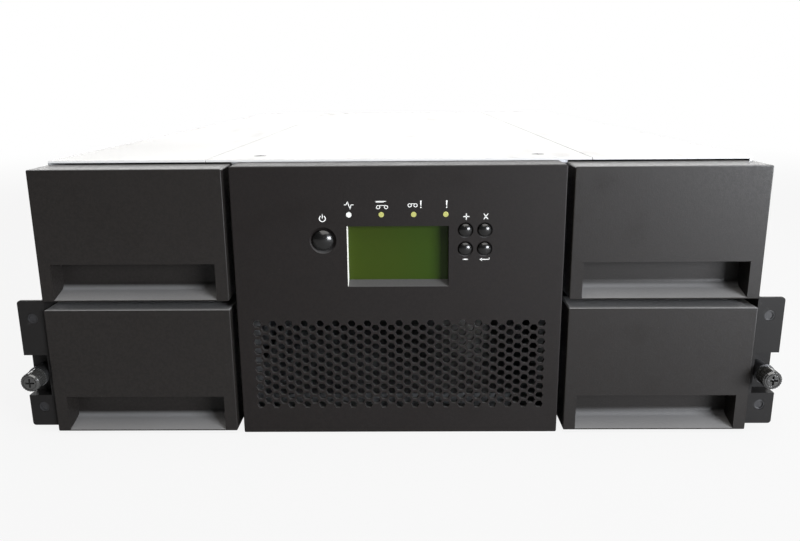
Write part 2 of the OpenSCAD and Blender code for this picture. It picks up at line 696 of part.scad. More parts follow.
module supply(z) translate([0, 0, z]) difference() {
    union() {
        difference() {
            box(supply_l, supply_r, supply_y, rear_y + 1, 0, supply_h);
            box(supply_l + 1.2, supply_r - 1.2, supply_y + 1.2, rear_y - 26, 1.2, supply_h - 1.2);
            box(supply_l + 1.2, supply_r - 1.2, rear_y - 27, rear_y - 0.5, 1.2, supply_h - 1.2);
        }
        difference() {
            rod(fan_x, supply_h / 2, fan_r + 2.5, rear_y - 26, rear_y);
            rod(fan_x, supply_h / 2, fan_r + 1, rear_y - 27, rear_y + 1);
        }
        slab(rear_y - 26, rear_y - 24) difference() {
            area(supply_l + 1, supply_r - 1, 1, supply_h - 1);
            translate([fan_x, supply_h / 2]) circle(fan_r + 1);
            area(-170, -130, 8, 40);
        }
        slab(plate_y, plate_y + 2) round_area(supply_l - 1.6, supply_r + 1.4, -0.7, supply_h + 0.7, 1);
        box(fan_x - 20, fan_x + 20, rear_y - 26, rear_y - 24, supply_h / 2 - 2, supply_h / 2 + 2);
        rod(fan_x, supply_h / 2, 1.5, rear_y - 25, rear_y - 6);
        box(inlet_x - 16, inlet_x + 16, rear_y - 19, rear_y + 1, 18, 44);
        box(-180, -172.5, plate_y + 1, rear_y + 26, 4, 12);
        box(-128, -120.5, plate_y + 1, rear_y + 26, 4, 12);
        box(-180, -120.5, rear_y + 20, rear_y + 26, 4, 12);
    }
    slab(rear_y - 0.6, plate_y + 3) intersection() {
        translate([fan_x, supply_h / 2]) for (r = [5, 9.5, 14]) difference() {
            circle(r + 3.5);
            circle(r);
        }
        translate([fan_x, supply_h / 2]) for (a = [0:90:270]) rotate(a) area(1, 20, 1, 20);
    }
    box(inlet_x - 13.7, inlet_x + 13.7, rear_y - 16, rear_y + 5, 21, 41);
    for (i = [0:6]) box(-210 + 12 * i, -204 + 12 * i, supply_y - 1, supply_y + 2, 10, 38);
}

module inlet_pins(z) for (p = [[-7, 29], [0, 33], [7, 29]])
    box(inlet_x + p[0] - 1, inlet_x + p[0] + 1, rear_y - 17, rear_y - 2, z + p[1] - 2, z + p[1] + 2);

module lower_supply() color("silver") from_front() {
    supply(2.3);
    inlet_pins(2.3);
}

module upper_supply() color("silver") from_front() {
    supply(2.3 + supply_step);
    inlet_pins(2.3 + supply_step);
}

module fan(z) translate([fan_x, rear_y - 8, z + supply_h / 2]) rotate([90, 0, 0]) difference() {
    union() {
        cylinder(r = 8, h = 12);
        for (i = [0:6]) rotate(i * 360 / 7) translate([fan_r / 2 + 2, 0, 6]) rotate([38, 0, 0])
            cube([fan_r - 5, 11, 1.2], center = true);
    }
    translate([0, 0, -1]) cylinder(r = 1.55, h = 14);
}

module lower_supply_fan() color("#202020") from_front() fan(2.3);

module upper_supply_fan() color("#202020") from_front() fan(2.3 + supply_step);

// Circuit board on a narrow face plate, with its network and serial sockets.
module controller_card() color("seagreen") from_front() difference() {
    union() {
        slab(plate_y, plate_y + 2) round_area(-118.1, -83.9, 3.4, 170.6, 1);
        box(-92, -90.4, rear_y - 190, rear_y + 1, 8, 166);
        box(-110, -92, rear_y - 18, rear_y + 1, 20, 36);
        box(-110, -92, rear_y - 18, rear_y + 1, 44, 58);
        box(-110, -92, rear_y - 14, rear_y + 1, 66, 98);
        box(-100, -92, rear_y - 150, rear_y - 110, 30, 70);
        box(-97, -92, rear_y - 90, rear_y - 60, 60, 120);
        box(-110, -92, rear_y - 40, rear_y - 20, 120, 150);
        for (z = [9, 165]) rod(-101, z, 4.5, plate_y + 1, plate_y + 8);
        for (z = [128, 156]) box(-105, -97, plate_y + 1, rear_y + 22, z - 3, z + 3);
        box(-105, -97, rear_y + 16, rear_y + 22, 125, 159);
    }
    box(-108.5, -93.5, rear_y - 16, rear_y + 5, 22, 34);
    box(-108.5, -94.5, rear_y - 16, rear_y + 5, 47, 54);
    box(-106, -96, rear_y - 11, rear_y + 5, 70, 94);
}

// ---- show ----

chassis_base();
side_wall_left();
side_wall_right();
rear_panel();
rear_cage();
top_cover();
top_side_panels();
cover_screws();
magazine_bays();
front_frame();
front_bezel();
display_module();
display_glass();
control_board();
ready_led();
status_leds();
rack_ear_left();
rack_ear_right();
ear_screws();
screw_ferrules();
aisle_rails();
drive_rack();
upper_left_bezel();
upper_left_frame();
upper_left_cartridges();
upper_right_bezel();
upper_right_frame();
upper_right_cartridges();
lower_right_bezel();
lower_right_frame();
lower_right_cartridges();
lower_left_frame();
lower_left_cartridges();
io_station_bezel();
io_station_carrier();
power_button();
plus_key();
minus_key();
cancel_key();
enter_key();
thumbscrew_left();
thumbscrew_right();
carriage_frame();
carriage_motor();
carriage_pinion();
lift_platform();
turntable();
picker_tray();
gripper();
barcode_reader();
lower_drive_sled();
upper_drive_sled();
lower_drive();
upper_drive();
lower_supply();
upper_supply();
lower_supply_fan();
upper_supply_fan();
controller_card();
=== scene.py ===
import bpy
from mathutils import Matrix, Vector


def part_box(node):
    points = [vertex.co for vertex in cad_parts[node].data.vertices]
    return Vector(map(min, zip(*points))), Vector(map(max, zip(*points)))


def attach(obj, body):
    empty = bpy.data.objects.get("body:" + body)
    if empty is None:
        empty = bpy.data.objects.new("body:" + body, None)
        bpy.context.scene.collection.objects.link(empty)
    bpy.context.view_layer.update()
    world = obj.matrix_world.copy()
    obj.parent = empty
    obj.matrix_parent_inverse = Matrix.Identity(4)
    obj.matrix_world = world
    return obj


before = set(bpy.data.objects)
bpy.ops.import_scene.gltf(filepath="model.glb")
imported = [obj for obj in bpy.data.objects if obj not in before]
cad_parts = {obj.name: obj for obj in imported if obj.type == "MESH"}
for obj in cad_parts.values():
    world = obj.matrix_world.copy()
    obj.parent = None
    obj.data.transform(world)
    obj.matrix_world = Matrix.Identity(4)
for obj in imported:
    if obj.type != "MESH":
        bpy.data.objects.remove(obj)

"""Looks of a rack-mounted data tape library: its finishes, printed marks, small parts and studio."""

import logging
import math
from dataclasses import dataclass, field
from enum import Enum
from typing import Callable, Iterable, Sequence

import bmesh
import bpy
from mathutils import Matrix, Vector

log = logging.getLogger("tape_library")

MM = 0.001
Colour = tuple[float, float, float]
Point = tuple[float, float]


class Direction(Enum):
    """The way that a metal sheet's grain runs."""

    ACROSS = (1.0, 0.02, 1.0)
    ALONG = (0.02, 1.0, 1.0)
    UP = (1.0, 1.0, 0.02)


# ---- shader building ----


class Signal:
    """A shader value that can be used in a Python expression."""

    def __init__(self, shader: "Shader", socket: bpy.types.NodeSocket) -> None:
        """Wrap a socket.

        Args:
            shader: The shader that the socket belongs to.
            socket: The output socket that carries the value.
        """
        self.shader = shader
        self.socket = socket

    def _join(self, operation: str, first: object, second: object) -> "Signal":
        """Add one Math node.

        Args:
            operation: The Math node's operation.
            first: A number or a signal.
            second: A number or a signal.

        Returns:
            The node's result.
        """
        return self.shader.value("ShaderNodeMath", {"operation": operation}, {0: first, 1: second})

    def __add__(self, other: object) -> "Signal":
        """Sum."""
        return self._join("ADD", self, other)

    __radd__ = __add__

    def __sub__(self, other: object) -> "Signal":
        """Difference."""
        return self._join("SUBTRACT", self, other)

    def __rsub__(self, other: object) -> "Signal":
        """Difference, with this value taken away."""
        return self._join("SUBTRACT", other, self)

    def __mul__(self, other: object) -> "Signal":
        """Product."""
        return self._join("MULTIPLY", self, other)

    __rmul__ = __mul__

    def __truediv__(self, other: object) -> "Signal":
        """Quotient."""
        return self._join("DIVIDE", self, other)

    def __pow__(self, other: object) -> "Signal":
        """Power."""
        return self._join("POWER", self, other)

    def __gt__(self, other: object) -> "Signal":
        """1 where this value is the greater."""
        return self._join("GREATER_THAN", self, other)

    def __lt__(self, other: object) -> "Signal":
        """1 where this value is the smaller."""
        return self._join("LESS_THAN", self, other)

    def __mod__(self, other: object) -> "Signal":
        """Remainder, never negative."""
        return self._join("FLOORED_MODULO", self, other)

    def __abs__(self) -> "Signal":
        """Size without sign."""
        return self._join("ABSOLUTE", self, 0.0)


class Shader:
    """A material's node tree, with one Principled surface."""

    def __init__(self, name: str) -> None:
        """Start an empty material.

        Args:
            name: The material's name.
        """
        self.material = bpy.data.materials.new(name)
        self.material.use_nodes = True
        self.tree = self.material.node_tree
        self.tree.nodes.clear()
        self.surface = self.node("ShaderNodeBsdfPrincipled")
        output = self.node("ShaderNodeOutputMaterial")
        self.tree.links.new(self.surface.outputs[0], output.inputs["Surface"])
        self.place = self.node("ShaderNodeTexCoord").outputs["Object"]

    def node(
        self,
        kind: str,
        settings: dict[str, object] | None = None,
        sockets: dict[str | int, object] | None = None,
    ) -> bpy.types.Node:
        """Add a node of any type.

        Args:
            kind: The node's type name.
            settings: Properties, set first; "stops" fills a colour ramp.
            sockets: Numbers, colours, sockets or signals for its inputs.

        Returns:
            The new node.
        """
        made = self.tree.nodes.new(kind)
        for key, value in (settings or {}).items():
            if key == "stops":
                self._fill_ramp(made.color_ramp, value)
            else:
                setattr(made, key, value)
        for key, value in (sockets or {}).items():
            self.feed(made.inputs[key], value)
        return made

    def _fill_ramp(self, ramp: bpy.types.ColorRamp, stops: Sequence[tuple[float, Colour]]) -> None:
        """Set a ramp's stops."""
        while len(ramp.elements) < len(stops):
            ramp.elements.new(1.0)
        for element, (position, colour) in zip(ramp.elements, stops):
            element.position = position
            element.color = (*colour, 1.0)

    def feed(self, target: bpy.types.NodeSocket, value: object) -> None:
        """Give an input a number, a colour, a socket or a signal."""
        if isinstance(value, Signal):
            self.tree.links.new(value.socket, target)
        elif isinstance(value, bpy.types.NodeSocket):
            self.tree.links.new(value, target)
        elif target.type == "RGBA" and len(value) == 3:
            target.default_value = (*value, 1.0)
        else:
            target.default_value = value

    def value(self, kind: str, settings: dict[str, object], sockets: dict[str | int, object]) -> Signal:
        """Add a node and wrap its first output."""
        return Signal(self, self.node(kind, settings, sockets).outputs[0])

    def axis(self, name: str) -> Signal:
        """One coordinate, "X", "Y" or "Z", of the point in metres."""
        split = self.node("ShaderNodeSeparateXYZ", {}, {0: self.place})
        return Signal(self, split.outputs[name])

    def noise(self, scale: float, detail: float = 2.0, stretch: Sequence[float] = (1.0, 1.0, 1.0)) -> Signal:
        """Soft noise from 0 to 1.

        Args:
            scale: Cells to a metre.
            detail: Octaves.
            stretch: Factor along each axis.

        Returns:
            The noise value.
        """
        spot = self.node("ShaderNodeMapping", {}, {"Vector": self.place, "Scale": tuple(stretch)})
        sockets = {"Vector": spot.outputs[0], "Scale": scale, "Detail": detail}
        return self.value("ShaderNodeTexNoise", {}, sockets)

    def cells(self, scale: float, feature: str = "F1") -> Signal:
        """Voronoi distance.

        Args:
            scale: Cells to a metre.
            feature: The Voronoi feature.

        Returns:
            The distance value.
        """
        return self.value("ShaderNodeTexVoronoi", {"feature": feature}, {"Vector": self.place, "Scale": scale})

    def peak(self, first: object, second: object) -> Signal:
        """The greater of two values."""
        return self.value("ShaderNodeMath", {"operation": "MAXIMUM"}, {0: first, 1: second})

    def smooth(self, signal: Signal, low: float, high: float) -> Signal:
        """A soft step from 0 at low to 1 at high."""
        settings = {"interpolation_type": "SMOOTHSTEP"}
        return self.value("ShaderNodeMapRange", settings, {"Value": signal, "From Min": low, "From Max": high})

    def facing(self, name: str, low: float, high: float) -> Signal:
        """How far the surface faces along an axis.

        Args:
            name: The axis: "X", "Y" or "Z".
            low: Part of the normal along it that gives 0.
            high: Part of the normal along it that gives 1.

        Returns:
            A value from 0 to 1.
        """
        normal = self.node("ShaderNodeNewGeometry").outputs["Normal"]
        split = self.node("ShaderNodeSeparateXYZ", {}, {0: normal})
        return self.smooth(Signal(self, split.outputs[name]), low, high)

    def mix(self, factor: object, first: object, second: object) -> bpy.types.NodeSocket:
        """Blend two colours.

        Args:
            factor: 0 for the first, 1 for the second.
            first: A colour or a colour socket.
            second: A colour or a colour socket.

        Returns:
            The blended colour.
        """
        made = self.node("ShaderNodeMix", {"data_type": "RGBA"}, {0: factor, 6: first, 7: second})
        return made.outputs[2]

    def bump(self, height: Signal, depth: float, strength: float = 1.0) -> bpy.types.NodeSocket:
        """Turn a height from 0 to 1 into a normal.

        Args:
            height: The height signal.
            depth: What 1 stands for, in metres.
            strength: The bump's strength.

        Returns:
            The normal.
        """
        made = self.node("ShaderNodeBump", {}, {"Strength": strength, "Distance": depth, "Height": height})
        return made.outputs[0]

    def finish(self, **sockets: object) -> bpy.types.Material:
        """Feed the surface, with spaces for the underscores of its socket names.

        Returns:
            The finished material.
        """
        for key, value in sockets.items():
            self.feed(self.surface.inputs[key.replace("_", " ")], value)
        return self.material


# ---- finishes ----


@dataclass(frozen=True)
class MouldedPlastic:
    """Dark moulded plastic with a fine etched grain, faint handling marks and painted top light on its upward faces.
    """

    name: str
    colour: Colour
    roughness: float = 0.5
    grain: float = 1400.0
    depth: float = 0.00006
    drift: float = 0.12
    dust: float = 0.0
    # Strength of the painted top light: upward faces are mixed towards pale grey.
    painted_top_light: float = 0.02
    sheen: float = 0.5

    def material(self) -> bpy.types.Material:
        """Build the material."""
        s = Shader(self.name)
        etched = s.cells(self.grain) * 0.6 + s.noise(self.grain * 1.7, 3.0) * 0.4
        cloud = s.noise(9.0, 4.0)
        rubbed = s.smooth(s.noise(38.0, 5.0), 0.52, 0.72)
        light = tuple(min(1.0, c * (1 + self.drift) + 0.0015) for c in self.colour)
        shade = tuple(c * (1 - self.drift) for c in self.colour)
        body = s.mix(cloud, shade, light)
        pits = s.smooth(s.noise(620.0, 6.0), 0.42, 0.60)
        grained = s.mix(pits * 0.55, body, tuple(c * 0.45 for c in self.colour))
        speckled = s.mix(etched * 0.45, grained, tuple(c * 1.8 for c in self.colour))
        mote = s.smooth(s.cells(420.0), 0.10, 0.03) * s.smooth(s.noise(60.0, 2.0), 0.5, 0.7)
        dotted = s.mix(mote * self.dust, speckled, (0.45, 0.44, 0.42))
        # Painted top light: faces turned upwards are mixed towards pale grey, as if lit from above.
        top_light_mask = s.facing("Z", 0.25, 0.95) * (0.75 + cloud * 0.5)
        top_lit = s.mix(top_light_mask * self.painted_top_light, dotted, (0.62, 0.62, 0.62))
        return s.finish(
            Base_Color=top_lit,
            Roughness=self.roughness + (etched - 0.4) * 0.16 + pits * 0.08 - rubbed * 0.05,
            Specular_IOR_Level=self.sheen,
            Normal=s.bump(etched, self.depth, 0.5),
        )


@dataclass(frozen=True)
class KeyCap:
    """Glossy black key with a domed top, around one middle."""

    name: str
    middle: Point
    dome: float

    def material(self) -> bpy.types.Material:
        """Build the material."""
        s = Shader(self.name)
        x, z = s.axis("X") - self.middle[0], s.axis("Z") - self.middle[1]
        spread = x * x + z * z
        sag = (s.peak(self.dome * self.dome - spread, 0.0) ** 0.5) * s.facing("Y", -0.6, -0.9)
        smear = s.noise(260.0, 5.0)
        return s.finish(
            Base_Color=s.mix(smear, (0.0035, 0.0035, 0.0035), (0.008, 0.0078, 0.0075)),
            Roughness=0.17 + smear * 0.10,
            Specular_IOR_Level=0.5,
            Normal=s.bump(sag, 1.0, 1.0),
        )


@dataclass(frozen=True)
class GalvanisedSheet:
    """Zinc-coated steel sheet with spangle and a faint rolled grain."""

    name: str
    colour: Colour
    roughness: float = 0.42
    grain: Direction = Direction.ALONG

    def material(self) -> bpy.types.Material:
        """Build the material."""
        s = Shader(self.name)
        spangle = s.value("ShaderNodeTexVoronoi", {"feature": "SMOOTH_F1"}, {"Vector": s.place, "Scale": 150.0})
        rolled = s.noise(900.0, 2.0, self.grain.value)
        cloud = s.noise(7.0, 4.0)
        dark = tuple(c * 0.84 for c in self.colour)
        body = s.mix(spangle * 0.5 + cloud * 0.4, self.colour, dark)
        scuff = s.smooth(s.noise(55.0, 6.0), 0.62, 0.74)
        return s.finish(
            Base_Color=s.mix(scuff * 0.15, body, (0.9, 0.9, 0.9)),
            Metallic=0.75,
            Roughness=self.roughness + (spangle - 0.4) * 0.18 + (rolled - 0.5) * 0.12,
            Normal=s.bump(rolled + spangle * 0.5, 0.00002, 0.3),
        )


@dataclass(frozen=True)
class PaleCover:
    """Pale satin coating of the top sheets, with light dust and scuffs."""

    name: str
    colour: Colour

    def material(self) -> bpy.types.Material:
        """Build the material."""
        s = Shader(self.name)
        peel = s.noise(650.0, 2.0)
        cloud = s.noise(6.0, 5.0)
        scuff = s.smooth(s.noise(40.0, 7.0, (1.0, 0.25, 1.0)), 0.60, 0.72)
        body = s.mix(cloud, tuple(c * 0.95 for c in self.colour), self.colour)
        return s.finish(
            Base_Color=s.mix(scuff * 0.12, body, (0.55, 0.55, 0.54)),
            Roughness=0.38 + cloud * 0.12 + scuff * 0.1,
            Normal=s.bump(peel, 0.00003, 0.35),
        )


@dataclass(frozen=True)
class PowderCoat:
    """Powder-coated steel, rubbed through a little where it is handled."""

    name: str
    colour: Colour
    roughness: float = 0.48
    wear: float = 0.25
    sheen: float = 0.5

    def material(self) -> bpy.types.Material:
        """Build the material."""
        s = Shader(self.name)
        peel = s.noise(1100.0, 3.0)
        cloud = s.noise(25.0, 5.0)
        rub = s.smooth(s.noise(130.0, 8.0), 0.60, 0.70) * s.smooth(cloud, 0.45, 0.65)
        body = s.mix(cloud, tuple(c * 0.8 for c in self.colour), tuple(c * 1.25 for c in self.colour))
        return s.finish(
            Base_Color=s.mix(rub * self.wear, body, (0.30, 0.29, 0.28)),
            Roughness=self.roughness + (peel - 0.5) * 0.12 - rub * 0.1,
            Specular_IOR_Level=self.sheen,
            Normal=s.bump(peel, 0.00005, 0.45),
        )


@dataclass(frozen=True)
class TurnedMetal:
    """Bare or plated metal with fine machining lines and slight stains."""

    name: str
    colour: Colour
    roughness: float = 0.28
    grain: Direction = Direction.UP

    def material(self) -> bpy.types.Material:
        """Build the material."""
        s = Shader(self.name)
        lines = s.noise(2600.0, 2.0, self.grain.value)
        stain = s.smooth(s.noise(90.0, 5.0), 0.45, 0.7)
        body = s.mix(stain * 0.5, self.colour, tuple(c * 0.72 for c in self.colour))
        return s.finish(
            Base_Color=s.mix(lines * 0.3, body, tuple(min(1.0, c * 1.2) for c in self.colour)),
            Metallic=1.0,
            Roughness=self.roughness + lines * 0.12 + stain * 0.08,
            Normal=s.bump(lines, 0.00002, 0.3),
        )


@dataclass(frozen=True)
class LampLens:
    """Moulded lens of an unlit signal lamp, cloudy towards its rim."""

    name: str
    colour: Colour

    def material(self) -> bpy.types.Material:
        """Build the material."""
        s = Shader(self.name)
        swirl = s.noise(900.0, 3.0)
        body = s.mix(swirl, tuple(c * 0.7 for c in self.colour), self.colour)
        return s.finish(
            Base_Color=body,
            Roughness=0.16 + swirl * 0.1,
            Coat_Weight=0.6,
            Coat_Roughness=0.08,
            Normal=s.bump(swirl, 0.00003, 0.3),
        )


@dataclass(frozen=True)
class DisplayFace:
    """Unlit green liquid-crystal face with its faint dot grid."""

    name: str
    colour: Colour
    left: float
    right: float
    low: float
    high: float
    dot: float = 0.48 * MM

    def material(self) -> bpy.types.Material:
        """Build the material."""
        s = Shader(self.name)
        x, z = s.axis("X"), s.axis("Z")
        row = s.smooth(abs((z / self.dot) % 1.0 - 0.5), 0.36, 0.48)
        column = s.smooth(abs((x / self.dot) % 1.0 - 0.5), 0.36, 0.48)
        line = row + column - row * column
        cloud = s.noise(30.0, 3.0)
        cool = s.smooth(x, self.left, self.right) * 0.5
        green = tuple(c * k for c, k in zip(self.colour, (0.55, 1.0, 0.7)))
        body = s.mix(cool + (cloud - 0.5) * 0.6, self.colour, green)
        gridded = s.mix(line * 0.14, body, tuple(c * 0.55 for c in self.colour))
        inset = 2.2 * MM
        edge_x = s.smooth(x, self.left, self.left + inset) * s.smooth(x, self.right, self.right - inset)
        edge_z = s.smooth(z, self.low, self.low + inset) * s.smooth(z, self.high, self.high - inset)
        shaded = s.mix(edge_x * edge_z, tuple(c * 0.45 for c in self.colour), gridded)
        return s.finish(Base_Color=shaded, Roughness=0.30 + cloud * 0.06, Specular_IOR_Level=0.2)


@dataclass(frozen=True)
class CircuitBoard:
    """Green solder mask with copper tracks under it and pale pads."""

    name: str
    colour: Colour = (0.012, 0.085, 0.03)
    scale: float = 260.0

    def material(self) -> bpy.types.Material:
        """Build the material."""
        s = Shader(self.name)
        tracks = s.value("ShaderNodeTexVoronoi", {"distance": "MANHATTAN", "feature": "F2"},
                         {"Vector": s.place, "Scale": self.scale})
        line = s.smooth(abs((tracks * 9.0) % 1.0 - 0.5), 0.34, 0.44)
        pad = s.smooth(s.cells(self.scale * 1.9), 0.16, 0.10)
        body = s.mix(line * 0.7, self.colour, tuple(c * 2.1 for c in self.colour))
        return s.finish(
            Base_Color=s.mix(pad, body, (0.62, 0.60, 0.55)),
            Metallic=pad * 0.8,
            Roughness=0.36 - pad * 0.08 + line * 0.05,
            Normal=s.bump(line + pad, 0.00004, 0.5),
        )


@dataclass(frozen=True)
class PrintedInk:
    """Screen-printed ink, slightly uneven in cover."""

    name: str
    colour: Colour

    def material(self) -> bpy.types.Material:
        """Build the material."""
        s = Shader(self.name)
        cover = s.noise(1800.0, 3.0)
        return s.finish(
            Base_Color=s.mix(cover * 0.35, self.colour, tuple(c * 0.7 for c in self.colour)),
            Roughness=0.55 + cover * 0.1,
            Normal=s.bump(cover, 0.00002, 0.3),
        )


@dataclass(frozen=True)
class PaperLabel:
    """Coated label paper with a plain coloured band."""

    name: str
    colour: Colour

    def material(self) -> bpy.types.Material:
        """Build the material."""
        s = Shader(self.name)
        fibre = s.noise(1300.0, 4.0)
        band = s.smooth(s.noise(24.0, 1.0, (0.0, 1.0, 0.0)), 0.49, 0.51)
        body = s.mix(band * 0.25, self.colour, (0.32, 0.42, 0.55))
        return s.finish(
            Base_Color=s.mix(fibre * 0.2, body, tuple(c * 0.85 for c in self.colour)),
            Roughness=0.5 + fibre * 0.1,
            Normal=s.bump(fibre, 0.00002, 0.3),
        )


@dataclass(frozen=True)
class StudioPaper:
    """Pale paper of the floor, which the camera sees as nearly white."""

    name: str
    colour: Colour
    glow: float = 0.87

    def material(self) -> bpy.types.Material:
        """Build the material."""
        s = Shader(self.name)
        tooth = s.noise(400.0, 3.0)
        made = s.finish(
            Base_Color=s.mix(tooth * 0.1, self.colour, tuple(c * 0.97 for c in self.colour)),
            Roughness=0.85 + tooth * 0.05,
        )
        path = s.node("ShaderNodeLightPath")
        lit = s.node("ShaderNodeEmission", {}, {"Color": (1.0, 1.0, 1.0), "Strength": 1.0})
        reach = (s.axis("X") ** 2 + s.axis("Y") ** 2) ** 0.5
        glow = self.glow + s.smooth(reach, 0.8, 2.2) * (1.0 - self.glow)
        seen = Signal(s, path.outputs["Is Camera Ray"]) * glow
        blend = s.node("ShaderNodeMixShader", {}, {0: seen, 1: s.surface.outputs[0], 2: lit.outputs[0]})
        s.tree.links.new(blend.outputs[0], s.tree.nodes["Material Output"].inputs["Surface"])
        return made


# ---- mesh building ----


class Builder:
    """Collects simple closed forms into one mesh object."""

    def __init__(self, name: str) -> None:
        """Start an empty mesh."""
        self.name = name
        self.mesh = bmesh.new()

    def prism(self, outline: Sequence[Point], front: float, back: float) -> None:
        """Add a closed prism.

        Args:
            outline: Points in x and z, counter-clockwise seen from the front.
            front: y of the front face.
            back: y of the back face.
        """
        near = [self.mesh.verts.new((x, front, z)) for x, z in outline]
        far = [self.mesh.verts.new((x, back, z)) for x, z in outline]
        self.mesh.faces.new(near)
        self.mesh.faces.new(far[::-1])
        for i, vert in enumerate(near):
            j = (i + 1) % len(near)
            self.mesh.faces.new((near[j], vert, far[i], far[j]))

    def stroke(self, points: Sequence[Point], width: float, front: float, back: float) -> None:
        """Add a line of even width, with a round dot at each end and bend.

        Args:
            points: The line's points in x and z.
            width: The line's width.
            front: y of the front face.
            back: y of the back face.
        """
        for start, end in zip(points, points[1:]):
            run = Vector((end[0] - start[0], end[1] - start[1]))
            side = Vector((-run.y, run.x)).normalized() * width / 2
            corners = [(start[0] - side.x, start[1] - side.y), (end[0] - side.x, end[1] - side.y),
                       (end[0] + side.x, end[1] + side.y), (start[0] + side.x, start[1] + side.y)]
            self.prism(corners, front, back)
        for x, z in points:
            self.prism(circle(x, z, width / 2, 10), front, back)

    def band(self, centre: Point, radius: float, width: float, front: float, back: float,
             start: float = 0.0, sweep: float = 360.0) -> None:
        """Add a ring or an arc of even width.

        Args:
            centre: The ring's centre in x and z.
            radius: Radius of the middle of the band.
            width: Width of the band.
            front: y of the front face.
            back: y of the back face.
            start: First angle in degrees, from +x towards +z.
            sweep: Angle covered in degrees.
        """
        steps = max(8, round(sweep / 12))
        for i in range(steps):
            angles = [math.radians(start + sweep * k / steps) for k in (i, i + 1)]
            inner, outer = radius - width / 2, radius + width / 2
            quad = [(centre[0] + r * math.cos(a), centre[1] + r * math.sin(a))
                    for r, a in ((inner, angles[0]), (outer, angles[0]), (outer, angles[1]), (inner, angles[1]))]
            self.prism(quad, front, back)

    def block(self, low: Sequence[float], high: Sequence[float]) -> None:
        """Add a box between two corners."""
        outline = [(low[0], low[2]), (high[0], low[2]), (high[0], high[2]), (low[0], high[2])]
        self.prism(outline, low[1], high[1])

    def tube(self, centre: Sequence[float], radius: float, length: float, axis: str, sides: int = 24) -> None:
        """Add a round bar.

        Args:
            centre: The bar's middle.
            radius: Its radius.
            length: Its length.
            axis: "X", "Y" or "Z".
            sides: Sides of its outline.
        """
        turn = {"X": Matrix.Rotation(math.pi / 2, 4, "Y"), "Y": Matrix.Rotation(math.pi / 2, 4, "X"),
                "Z": Matrix.Identity(4)}[axis]
        bmesh.ops.create_cone(self.mesh, cap_ends=True, segments=sides, radius1=radius, radius2=radius,
                              depth=length, matrix=Matrix.Translation(centre) @ turn)

    def make(self, finish: bpy.types.Material, body: str, round_off: float = 0.0) -> bpy.types.Object:
        """Turn the forms into an object that rides on a body.

        Args:
            finish: Its material.
            body: The body that it moves with.
            round_off: Width of the bevel on its edges, or 0.

        Returns:
            The new object.
        """
        data = bpy.data.meshes.new(self.name)
        bmesh.ops.recalc_face_normals(self.mesh, faces=self.mesh.faces)
        self.mesh.to_mesh(data)
        self.mesh.free()
        made = bpy.data.objects.new(self.name, data)
        bpy.context.scene.collection.objects.link(made)
        data.materials.append(finish)
        if round_off:
            soften(made, round_off)
        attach(made, body)
        log.info("made %s with %d faces", self.name, len(data.polygons))
        return made


def circle(x: float, z: float, radius: float, sides: int = 32) -> list[Point]:
    """Points of a circle in x and z."""
    turns = [2 * math.pi * k / sides for k in range(sides)]
    return [(x + radius * math.cos(a), z + radius * math.sin(a)) for a in turns]


def soften(target: bpy.types.Object, width: float, segments: int = 2, limit: float = 32.0) -> None:
    """Round an object's sharp edges with modifiers, leaving its mesh as it is.

    Args:
        target: The object.
        width: Width of the rounding in metres.
        segments: Steps across it.
        limit: Smallest angle between faces that counts as an edge, in degrees.
    """
    weld = target.modifiers.new("joined", "WELD")
    weld.merge_threshold = 0.002 * MM
    bevel = target.modifiers.new("rounded", "BEVEL")
    bevel.width = width
    bevel.segments = segments
    bevel.limit_method = "ANGLE"
    bevel.angle_limit = math.radians(limit)
    bevel.use_clamp_overlap = True
    bevel.harden_normals = False
    shading = target.modifiers.new("even", "WEIGHTED_NORMAL")
    shading.keep_sharp = True
    shading.weight = 80


# ---- the library's parts ----


@dataclass
class Finishes:
    """Every finish of the library, made once."""

    made: dict[str, bpy.types.Material] = field(default_factory=dict)

    def get(self, finish: object) -> bpy.types.Material:
        """The material of a finish, built on first use."""
        if finish.name not in self.made:
            self.made[finish.name] = finish.material()
            log.info("finish %s", finish.name)
        return self.made[finish.name]


# Painted top light on upward faces is strongest on the charcoal bezels and lighter on the fascia.
CHARCOAL = MouldedPlastic("charcoal_plastic", (0.0085, 0.0073, 0.0066), 0.39, dust=0.10, painted_top_light=0.22, sheen=0.26)
FASCIA = MouldedPlastic("fascia_plastic", (0.0065, 0.0052, 0.0048), 0.44, dust=0.08, painted_top_light=0.08, sheen=0.20)
FRAME_GREY = MouldedPlastic("frame_plastic", (0.075, 0.078, 0.082), 0.5)
SHELL = MouldedPlastic("cartridge_plastic", (0.020, 0.022, 0.026), 0.44)
ZINC = GalvanisedSheet("galvanised_sheet", (0.62, 0.63, 0.64))
ZINC_INNER = GalvanisedSheet("inner_sheet", (0.50, 0.51, 0.53), 0.46, Direction.ACROSS)
ZINC_REAR = GalvanisedSheet("rear_sheet", (0.58, 0.59, 0.60), 0.40, Direction.UP)
COVER = PaleCover("pale_cover", (0.48, 0.48, 0.475))
EAR_COAT = PowderCoat("ear_coat", (0.0085, 0.0080, 0.0078), 0.50, 0.06, 0.16)
ROBOT_COAT = PowderCoat("robot_coat", (0.10, 0.11, 0.125), 0.5)
KNOB_METAL = PowderCoat("knob_coat", (0.022, 0.022, 0.021), 0.20, 0.5, 1.0)
BLACK_OXIDE = TurnedMetal("black_oxide", (0.06, 0.06, 0.06), 0.38)
DARK_STEEL = TurnedMetal("dark_steel", (0.16, 0.16, 0.165), 0.3)
BRIGHT_STEEL = TurnedMetal("bright_steel", (0.62, 0.63, 0.65), 0.24, Direction.ALONG)
BRASS = TurnedMetal("cut_brass", (0.72, 0.52, 0.20), 0.24)
SATIN_ALUMINIUM = TurnedMetal("satin_aluminium", (0.66, 0.67, 0.69), 0.34, Direction.ACROSS)
